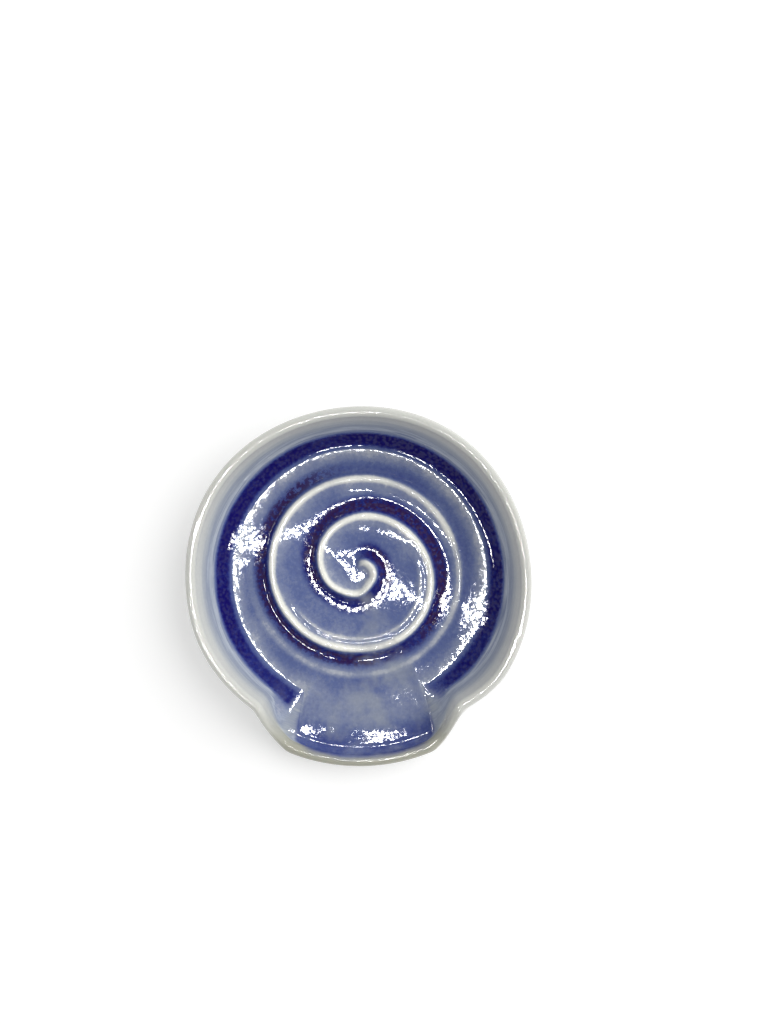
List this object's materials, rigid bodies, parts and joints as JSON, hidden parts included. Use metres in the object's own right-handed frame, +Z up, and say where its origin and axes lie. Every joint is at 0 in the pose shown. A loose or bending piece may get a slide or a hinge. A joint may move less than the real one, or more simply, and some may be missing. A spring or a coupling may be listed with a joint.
{
  "type": "spoon rest",
  "caption": "Round glazed stoneware spoon rest with a spiral finger groove in its floor and a low folded lip in the wall for the spoon's handle.",
  "frame": {"origin": "centre of the flat base, on the dish's axis", "axes": "+Z up out of the dish, -Y towards the folded lip, +X to the right with the lip in front"},
  "size_m": [0.1197, 0.128, 0.02],
  "materials": {
    "bare_stoneware": "unglazed fired stoneware, matt, with fine wire-cut lines underneath",
    "blue_glaze": "high-gloss blue glaze, navy where it pooled in the grooves and cream where it ran thin on the ridge",
    "pale_glaze": "high-gloss pale grey-green glaze over fine throwing rings"
  },
  "bodies": {
    "root": {"stoneware_body": "bare_stoneware", "well_glaze": "blue_glaze", "rim_glaze": "pale_glaze"}
  },
  "joints": []
}
